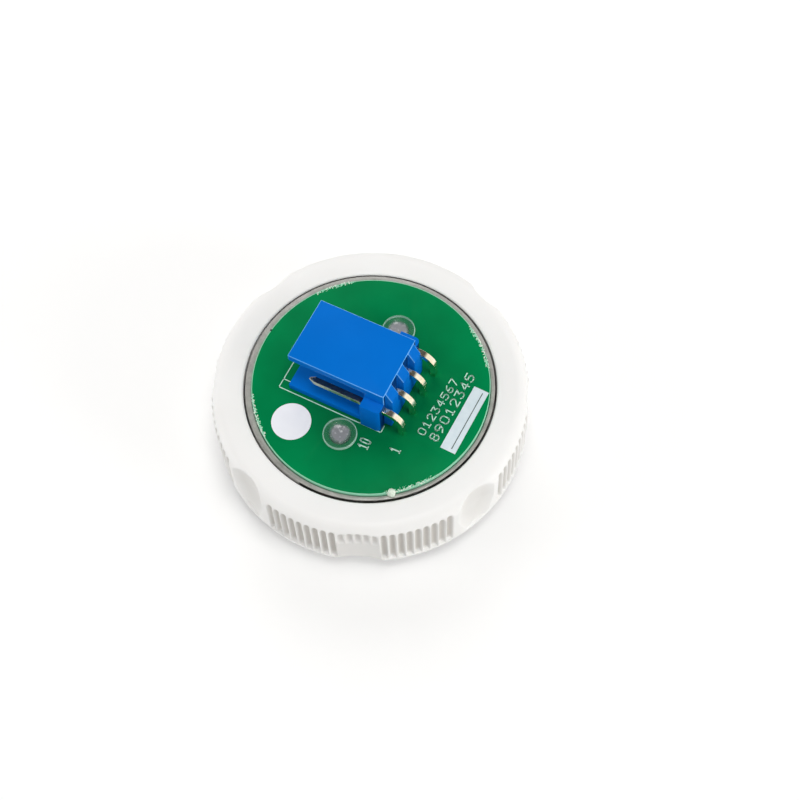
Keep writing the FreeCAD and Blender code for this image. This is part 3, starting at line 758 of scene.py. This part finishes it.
def makeStakeHeads(cfg):
    draw = random.Random(cfg["seed"])
    foot, top = boardTop + cfg["seat"], boardTop + cfg["height"]
    floor = top - cfg["dishDepth"]
    footRound, edgeRound, floorRound = cfg["rounds"]
    bm = bmesh.new()
    for side in (-1, 1):
        head = outlineWire(
            [(0, foot), (cfg["radius"], foot), (cfg["radius"] - cfg["lean"], top), (cfg["dishRadius"], top),
             (cfg["dishRadius"] * cfg["dishFloor"], floor),
             (0, floor + cfg["dishDepth"] * cfg["dishCrown"])],
            {1: footRound, 2: (cfg["rimRound"], cfg["rimSegments"]), 3: edgeRound, 4: floorRound})
        spinWire(head, cfg["steps"])
        for vert in head.verts:
            radius = math.hypot(vert.co.x, vert.co.y)
            if vert.co.z > foot + cfg["meltAbove"] and radius < cfg["dishRadius"]:
                vert.co.z += draw.uniform(-1, 1) * cfg["melt"] * (1 - radius / cfg["dishRadius"])
        bmesh.ops.translate(head, vec=(0, side * stakeFinish["offset"], 0), verts=head.verts[:])
        mesh = bpy.data.meshes.new("stakeHead")
        head.to_mesh(mesh)
        head.free()
        bm.from_mesh(mesh)
        bpy.data.meshes.remove(mesh)
    newPiece("stakeHeads", bm, "base", [finishes["stakeClear"]], sharpAngle=60)


makeStakeHeads(stakeHeads)
print("clear housing made")


# Circuit board, its print and its broken edge

circuitBoard = {
    "edge": 0.04,
    "edgeSegments": 2,
    "edgeBand": 0.05,
    "holeFill": 0.56,           # the pin holes are filled to just below the top
    "fillDepth": 0.04,
    "fillThick": 0.3,
    "fillSegments": 32,
}


def makeCircuitBoard(cfg):
    bm = nodeShape("circuit_board")
    fitToBoard(bm, boardRadius - cfg["edgeBand"], boardRadius + cfg["edgeBand"], 0, boardLow.z - 1)
    softenEdges(bm, cfg["edge"], cfg["edgeSegments"])
    newPiece("circuitBoard", bm, "base", [finishes["boardGreen"]], ["circuit_board"])


def makeHoleFill(cfg):
    bm = bmesh.new()
    for number in range(1, 5):
        low, high = nodeBox("contact_pin_%d" % number)
        half = (high.y - low.y) / 2
        place = Matrix.Translation((high.x - half, low.y + half, boardTop - cfg["fillDepth"]))
        bmesh.ops.create_circle(bm, cap_ends=True, segments=cfg["fillSegments"],
                                radius=cfg["holeFill"], matrix=place)
    sunk = bmesh.ops.extrude_face_region(bm, geom=bm.faces[:])
    lowered = [item for item in sunk["geom"] if isinstance(item, bmesh.types.BMVert)]
    bmesh.ops.translate(bm, vec=(0, 0, -cfg["fillThick"]), verts=lowered)
    bmesh.ops.recalc_face_normals(bm, faces=bm.faces[:])
    newPiece("holeFill", bm, "base", [finishes["boardGreen"]])


makeCircuitBoard(circuitBoard)
makeHoleFill(circuitBoard)

boardPrint = {
    "lift": 0.025,
    "line": 0.1,
    # the header's plan on the board: long sides, mouth end, pin end and short ticks
    "lines": (
        ((-8.25, -4.7), (3.66, -4.7)), ((-8.25, 4.7), (3.66, 4.7)), ((-8.25, -4.7), (-8.25, 4.7)),
        ((3.66, -4.7), (3.66, -3.9)), ((3.66, 3.9), (3.66, 4.7)), ((-8.25, -3.67), (-7.3, -3.67)),
        ((-8.25, 3.67), (-7.3, 3.67)), ((1.3, -4.7), (1.3, -4.1)), ((1.3, 4.1), (1.3, 4.7)),
    ),
    # plain numbers: digits, start and end of the row's middle line, digit height, stroke width
    "numbers": (
        ("10", (2.72, -7.15), (2.68, -5.95), 1.1, 0.13),
        ("1", (5.84, -6.1), (5.82, -5.5), 1.1, 0.13),
        ("01234567", (7.36, -3.2), (7.93, 4.2), 0.8, 0.11),
        ("89012345", (8.8, -3.3), (9.18, 5.5), 0.9, 0.12),
    ),
    "digitShare": 0.64,
    "dot": ((-5.18, -7.64), 2.07),
    "dotSegments": 96,
    "bar": ((10.77, 0.37), (1.68, 7.8), -1.6),
    "barLine": ((11.05, 0.37), (0.09, 7.1), -1.7),
    "barLineLift": 0.01,
    "speck": ((-12.3, 0.84), 0.11),
}

# pen strokes of each digit in a unit box
digitStrokes = {
    "0": (((0, 0.2), (0, 0.8), (0.25, 1), (0.75, 1), (1, 0.8), (1, 0.2), (0.75, 0), (0.25, 0), (0, 0.2)),),
    "1": (((0.15, 0.75), (0.5, 1), (0.5, 0)), ((0.15, 0), (0.85, 0))),
    "2": (((0, 0.8), (0.25, 1), (0.75, 1), (1, 0.8), (1, 0.6), (0, 0), (1, 0)),),
    "3": (((0, 1), (1, 1), (0.45, 0.6), (0.8, 0.55), (1, 0.35), (1, 0.2), (0.75, 0), (0.2, 0), (0, 0.15)),),
    "4": (((0.75, 0), (0.75, 1), (0, 0.3), (1, 0.3)),),
    "5": (((1, 1), (0.1, 1), (0, 0.55), (0.75, 0.6), (1, 0.4), (1, 0.2), (0.75, 0), (0.2, 0), (0, 0.1)),),
    "6": (((0.85, 1), (0.3, 0.8), (0, 0.4), (0, 0.2), (0.25, 0), (0.75, 0), (1, 0.2), (1, 0.35),
           (0.75, 0.5), (0.1, 0.45)),),
    "7": (((0, 1), (1, 1), (0.35, 0)),),
    "8": (((0.25, 0.55), (0, 0.78), (0.25, 1), (0.75, 1), (1, 0.78), (0.75, 0.55), (0.25, 0.55), (0, 0.28),
           (0.25, 0), (0.75, 0), (1, 0.28), (0.75, 0.55)),),
    "9": (((0.15, 0), (0.7, 0.2), (1, 0.6), (1, 0.8), (0.75, 1), (0.25, 1), (0, 0.8), (0, 0.65),
           (0.25, 0.5), (0.9, 0.55)),),
}


def inkPatch(bm, middle, size, turn, lift):
    place = (Matrix.Translation((*middle, boardTop + lift / 2))
             @ Matrix.Rotation(math.radians(turn), 4, "Z") @ Matrix.Diagonal((*size, lift, 1)))
    bmesh.ops.create_cube(bm, size=1, matrix=place)


def inkLine(bm, start, end, width, lift):
    along = Vector(end) - Vector(start)
    middle = (Vector(start) + Vector(end)) / 2
    inkPatch(bm, middle, (along.length + width, width), math.degrees(math.atan2(along.y, along.x)), lift)


def inkNumber(bm, digits, start, end, tall, pen, cfg):
    start = Vector(start)
    row = Vector(end) - start
    cell = row.length / len(digits)
    along = row.normalized()
    upward = Vector((-along.y, along.x))
    margin = (1 - cfg["digitShare"]) / 2
    for index, digit in enumerate(digits):
        for stroke in digitStrokes[digit]:
            corner = start + along * cell * (index + margin) - upward * tall / 2
            points = [corner + along * cell * cfg["digitShare"] * u + upward * tall * v for u, v in stroke]
            for one, two in zip(points, points[1:]):
                inkLine(bm, one, two, pen, cfg["lift"])


def makeBoardPrint(cfg):
    bm = bmesh.new()
    for start, end in cfg["lines"]:
        inkLine(bm, start, end, cfg["line"], cfg["lift"])
    for number in cfg["numbers"]:
        inkNumber(bm, *number, cfg)
    newPiece("boardPrint", bm, "base", [finishes["inkWhite"]])
    bm = bmesh.new()
    inkPatch(bm, *cfg["bar"], cfg["lift"])
    newPiece("whiteBar", bm, "base", [finishes["barWhite"]])
    bm = bmesh.new()
    inkPatch(bm, *cfg["barLine"], cfg["lift"] + cfg["barLineLift"])
    middle, radius = cfg["speck"]
    place = Matrix.Translation((*middle, boardTop))
    bmesh.ops.create_icosphere(bm, subdivisions=2, radius=radius, matrix=place)
    newPiece("darkMarks", bm, "base", [finishes["scribeDark"]])
    bm = bmesh.new()
    middle, radius = cfg["dot"]
    bmesh.ops.create_circle(bm, cap_ends=True, segments=cfg["dotSegments"], radius=radius,
                            matrix=Matrix.Translation((*middle, boardTop)))
    raised = bmesh.ops.extrude_face_region(bm, geom=bm.faces[:])
    lifted = [item for item in raised["geom"] if isinstance(item, bmesh.types.BMVert)]
    bmesh.ops.translate(bm, vec=(0, 0, cfg["lift"]), verts=lifted)
    bmesh.ops.recalc_face_normals(bm, faces=bm.faces[:])
    newPiece("whiteDot", bm, "base", [finishes["dotWhite"]])


makeBoardPrint(boardPrint)

brokenEdge = {
    "seed": 11,
    "perDegree": 2.5,
    "size": (0.035, 0.12),
    "across": (0.4, 0.9),
    "tall": (0.3, 0.6),
    "inward": 0.28,
    "nub": ((7.6, -10.1), 0.42),
    "nubRough": 0.12,
}


def makeBrokenEdge(cfg):
    draw = random.Random(cfg["seed"])
    bm = bmesh.new()
    for start, end in boardFinish["frays"]:
        for count in range(int((end - start) * cfg["perDegree"])):
            turn = math.radians(draw.uniform(start, end))
            radius = boardReach(turn) - draw.random() ** 2 * cfg["inward"]
            size = draw.uniform(*cfg["size"])
            spin = draw.uniform(0, math.pi)
            wide = size * draw.uniform(*cfg["across"])
            tall = size * draw.uniform(*cfg["tall"])
            place = (Matrix.Translation((radius * math.cos(turn), radius * math.sin(turn), boardTop))
                     @ Matrix.Rotation(spin, 4, "Z") @ Matrix.Diagonal((size, wide, tall, 1)))
            bmesh.ops.create_icosphere(bm, subdivisions=1, radius=1, matrix=place)
    middle, radius = cfg["nub"]
    place = Matrix.Translation((*middle, boardTop))
    nub = bmesh.ops.create_icosphere(bm, subdivisions=3, radius=radius, matrix=place)
    for vert in nub["verts"]:
        stray = Vector((draw.uniform(-1, 1), draw.uniform(-1, 1), draw.uniform(-1, 1)))
        vert.co += stray * radius * cfg["nubRough"]
    newPiece("brokenEdge", bm, "base", [finishes["glassFibre"]], sharpAngle=80)


makeBrokenEdge(brokenEdge)
print("circuit board made")


# Plug header and its four bent pins

plugHeader = {
    "edge": 0.06,
    "edgeSegments": 3,
    "plate": 0.9,               # the top plate's thickness, whose eased edges get a painted highlight
    "rearWall": 3.8,            # the sunk rear wall ends here, behind the gussets
    "facing": 0.9,
    "underFrom": 1.0,           # faces this far above the board that look down are in shade
}


def makePlugHeader(cfg):
    bm = nodeShape("connector_header")
    top = nodeBox("connector_header")[1].z
    for face in bm.faces:
        middle = face.calc_center_median()
        sunkRear = face.normal.x > cfg["facing"] and middle.x < cfg["rearWall"]
        underPlate = face.normal.z < -cfg["facing"] and middle.z > boardTop + cfg["underFrom"]
        if sunkRear or underPlate:
            face.material_index = 2
    # the top plate's eased edges take the lighter blue: a painted highlight
    for face in softenEdges(bm, cfg["edge"], cfg["edgeSegments"]):
        face.material_index = 1 if face.calc_center_median().z > top - cfg["plate"] else 0
    newPiece("plugHeader", bm, "base",
             [finishes["headerBlue"], finishes["headerEdgeHighlight"], finishes["headerShade"]],
             ["connector_header"], sharpAngle=20)


makePlugHeader(plugHeader)

contactPin = {
    "bend": 1.75,
    "bendSteps": 18,
    "taper": 0.6,
    "tip": 0.2,
    "edge": 0.02,
    "edgeSegments": 2,
    "tinTo": 0.0,               # tinned sides in the mouth, gold from here to the board
    "sideFacing": 0.7,
}


def makeContactPin(number, cfg):
    low, high = nodeBox("contact_pin_%d" % number)
    thick = high.y - low.y
    middle = (low.y + high.y) / 2
    row = high.x - thick / 2
    axis = high.z - thick / 2
    bm = bmesh.new()
    place = Matrix.Translation((low.x, middle, axis)) @ Matrix.Rotation(math.pi / 2, 4, "Y")
    bmesh.ops.create_grid(bm, x_segments=1, y_segments=1, size=cfg["tip"] / 2, matrix=place)

    def pushFace(step, scale=1.0):
        grown = bmesh.ops.extrude_discrete_faces(bm, faces=[end[0]])["faces"]
        end[0] = grown[0]
        bmesh.ops.translate(bm, vec=step, verts=end[0].verts[:])
        if scale != 1.0:
            centre = end[0].calc_center_median()
            bmesh.ops.scale(bm, vec=(scale, scale, scale), space=Matrix.Translation(-centre),
                            verts=end[0].verts[:])

    end = [bm.faces[:][0]]
    pushFace((cfg["taper"], 0, 0), thick / cfg["tip"])
    pushFace((cfg["tinTo"] - low.x - cfg["taper"], 0, 0))
    pushFace((row - cfg["bend"] - cfg["tinTo"], 0, 0))
    bent = bmesh.ops.spin(bm, geom=[end[0]], cent=(row - cfg["bend"], middle, axis - cfg["bend"]),
                          axis=(0, 1, 0), angle=math.pi / 2, steps=cfg["bendSteps"])
    end[0] = [item for item in bent["geom_last"] if isinstance(item, bmesh.types.BMFace)][0]
    pushFace((0, 0, low.z - (axis - cfg["bend"])))
    bmesh.ops.remove_doubles(bm, verts=bm.verts[:], dist=mergeGap)
    bmesh.ops.recalc_face_normals(bm, faces=bm.faces[:])
    softenEdges(bm, cfg["edge"], cfg["edgeSegments"])
    for face in bm.faces:
        if face.calc_center_median().x < cfg["tinTo"] and abs(face.normal.z) < cfg["sideFacing"]:
            face.material_index = 1
    newPiece("contactPin%d" % number, bm, "base", [finishes["pinGold"], finishes["pinTin"]],
             ["contact_pin_%d" % number], sharpAngle=12)


for number in range(1, 5):
    makeContactPin(number, contactPin)
print("plug header made")


# Front and inside: turned, moulded and stamped pieces with their edges eased

easedPieces = (
    # piece, node, body, finish, slot, edge width
    ("frontBezel", "front_bezel", "base", "bezelSteel", "bezel_steel", 0.05),
    ("haloRing", "halo_ring", "base", "haloMilky", "halo_milky", 0.05),
    ("pushCap", "push_cap", "cap", "capWhite", "cap_white", 0.06),
    ("facePlate", "face_plate", "cap", "plateSteel", "plate_steel", 0.03),
    ("switchBody", "switch_body", "base", "switchBlack", "switch_black", 0.06),
    ("switchCover", "switch_cover", "base", "bezelSteel", "cover_steel", 0.03),
    ("switchPlunger", "switch_plunger", "plunger", "plungerGrey", "plunger_grey", 0.06),
    ("switchLeads", "switch_leads", "base", "solderTin", "solder_tin", 0.03),
    ("pinSolder", "pin_solder", "base", "solderTin", "solder_tin", 0.04),
    ("chipResistors", "chip_resistors", "base", "chipBlack", "chip_black", 0.03),
    ("lamp1", "led_1", "base", "lampWhite", "lamp_white", 0.04),
    ("lamp2", "led_2", "base", "lampWhite", "lamp_white", 0.04),
    ("lamp3", "led_3", "base", "lampWhite", "lamp_white", 0.04),
    ("lamp4", "led_4", "base", "lampWhite", "lamp_white", 0.04),
)
easedSegments = 2
for name, node, body, finish, slot, edge in easedPieces:
    shape = nodeShape(node)
    softenEdges(shape, edge, easedSegments)
    newPiece(name, shape, body, [finishes[finish]], [node], sharpAngle=20)

returnSpring = {"wire": 0.32, "turns": 3, "stepsPerTurn": 48, "wireSides": 14, "pressTravel": 0.8}


def makeReturnSpring(cfg):
    low, high = nodeBox("return_spring")
    wire = cfg["wire"] / 2
    radius = high.x - wire
    rise = high.z - low.z - cfg["wire"]
    bm = bmesh.new()
    place = Matrix.Translation((radius, 0, low.z + wire)) @ Matrix.Rotation(math.pi / 2, 4, "X")
    bmesh.ops.create_circle(bm, cap_ends=True, segments=cfg["wireSides"], radius=wire, matrix=place)
    steps = cfg["turns"] * cfg["stepsPerTurn"]
    bmesh.ops.spin(bm, geom=bm.faces[:], cent=(0, 0, 0), axis=(0, 0, 1), angle=2 * math.pi * cfg["turns"],
                   steps=steps, dvec=(0, 0, rise / steps))
    bmesh.ops.recalc_face_normals(bm, faces=bm.faces[:])
    spring = newPiece("returnSpring", bm, "base", [finishes["springSteel"]], ["return_spring"])
    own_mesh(spring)


makeReturnSpring(returnSpring)
print("front and inside made")


# Studio: pale floor, soft light and the photo's camera

studio = {
    "floorSize": 3.0,
    "floorColour": (0.92, 0.92, 0.915),
    "floorRough": 0.9,
    "floorGloss": 0.1,
    "floorGlow": 0.12,
    "farGlow": 0.7,             # the floor turns white away from the button
    "glowFrom": 150,
    "glowTo": 700,
    "wallLight": (1.0, 1.0, 1.0),
    "ceilingLight": (0.06, 0.062, 0.065),
    "wallTop": 0.66,            # sine of the height where the wall light starts to fade
    "ceilingFrom": 0.8,
    "worldLight": 0.52,         # what the walls give as light; they are seen as white
}

lampSettings = (
    # name, place in metres, size, power, colour
    ("overheadBox", (0.06, -0.02, 0.5), 0.2, 1.12, (1.0, 0.99, 0.98)),
    ("backBox", (-0.2, 0.28, 0.3), 0.3, 0.55, (1.0, 0.99, 0.98)),
    ("rightBox", (0.445, 0.0, 0.12), 0.2, 0.74, (1.0, 0.99, 0.97)),
    ("leftBox", (-0.38, -0.24, 0.14), 0.2, 0.48, (1.0, 0.99, 0.98)),
)


def raySeen(tree):
    rays = tree.nodes.new("ShaderNodeLightPath")
    seen = calc(tree, "MAXIMUM", rays.outputs["Is Camera Ray"], rays.outputs["Is Glossy Ray"])
    return calc(tree, "MAXIMUM", seen, rays.outputs["Is Transmission Ray"])


def makeFloor(cfg):
    bm = bmesh.new()
    bmesh.ops.create_grid(bm, x_segments=1, y_segments=1, size=cfg["floorSize"] / 2)
    mesh = bpy.data.meshes.new("floor")
    bm.to_mesh(mesh)
    bm.free()
    finish, tree, shader = newFinish("floorPale", {
        "Base Color": (*cfg["floorColour"], 1), "Roughness": cfg["floorRough"],
        "Specular IOR Level": cfg["floorGloss"], "Emission Color": (1, 1, 1, 1)})
    away = placeGroup(tree, fromAxis, {"Inner": cfg["glowFrom"], "Outer": cfg["glowTo"]})
    glow = spread(tree, away.outputs["Fade"], cfg["floorGlow"], cfg["farGlow"], 0, 1)
    tree.links.new(calc(tree, "MULTIPLY", raySeen(tree), glow), shader.inputs["Emission Strength"])
    mesh.materials.append(finish)
    floor = bpy.data.objects.new("floor", mesh)
    bpy.context.scene.collection.objects.link(floor)


def makeWorld(cfg):
    world = bpy.data.worlds.new("studio")
    bpy.context.scene.world = world
    world.use_nodes = True
    tree = world.node_tree
    background = tree.nodes["Background"]
    strength = calc(tree, "MAXIMUM", raySeen(tree), cfg["worldLight"])
    tree.links.new(strength, background.inputs["Strength"])
    place = tree.nodes.new("ShaderNodeTexCoord")
    split = tree.nodes.new("ShaderNodeSeparateXYZ")
    tree.links.new(place.outputs["Generated"], split.inputs[0])
    height = spread(tree, split.outputs["Z"], 0, 1, cfg["wallTop"], cfg["ceilingFrom"])
    colour = mixColours(tree, height, cfg["wallLight"], cfg["ceilingLight"])
    tree.links.new(colour, background.inputs["Color"])


def makeLamp(name, place, size, power, colour):
    data = bpy.data.lights.new(name, "AREA")
    data.shape = "SQUARE"
    data.size = size
    data.energy = power
    data.color = colour
    lamp = bpy.data.objects.new(name, data)
    lamp.location = place
    lamp.rotation_euler = (-Vector(place)).to_track_quat("-Z", "Y").to_euler()
    bpy.context.scene.collection.objects.link(lamp)


makeFloor(studio)
makeWorld(studio)
for settings in lampSettings:
    makeLamp(*settings)

photoCamera = {
    "lens": 53.19,
    "sensor": 36.0,
    "azimuth": 28.204,
    "elevation": 64.34,
    "roll": 1.93,
    "distance": 123.5,
    "clipStart": 0.005,
    "imageSide": 800,
    "boardPixel": (369.86, 381.6),     # where the board's middle lies in the photo
}


def makeCamera(cfg):
    around = Matrix.Rotation(math.radians(cfg["azimuth"]), 3, "Z")
    rise = math.radians(cfg["elevation"])
    roll = math.radians(cfg["roll"])
    right = around @ Vector((1, 0, 0))
    up = around @ Vector((0, math.sin(rise), math.cos(rise)))
    back = around @ Vector((0, -math.cos(rise), math.sin(rise)))
    across = math.cos(roll) * right - math.sin(roll) * up
    upward = math.sin(roll) * right + math.cos(roll) * up
    pixel = cfg["sensor"] / cfg["lens"] * cfg["distance"] / cfg["imageSide"]
    aside = (cfg["boardPixel"][0] - cfg["imageSide"] / 2) * pixel
    above = (cfg["imageSide"] / 2 - cfg["boardPixel"][1]) * pixel
    eye = Vector((0, 0, boardTop)) + back * cfg["distance"] - across * aside - upward * above
    data = bpy.data.cameras.new("photoCamera")
    data.lens = cfg["lens"]
    data.sensor_width = cfg["sensor"]
    data.clip_start = cfg["clipStart"]
    camera = bpy.data.objects.new("photoCamera", data)
    turned = Matrix((across, upward, back)).transposed().to_4x4()
    camera.matrix_world = Matrix.Translation(eye * mm) @ turned
    bpy.context.scene.collection.objects.link(camera)
    bpy.context.scene.camera = camera


makeCamera(photoCamera)
bpy.context.scene.view_settings.view_transform = "Standard"
print("studio made")
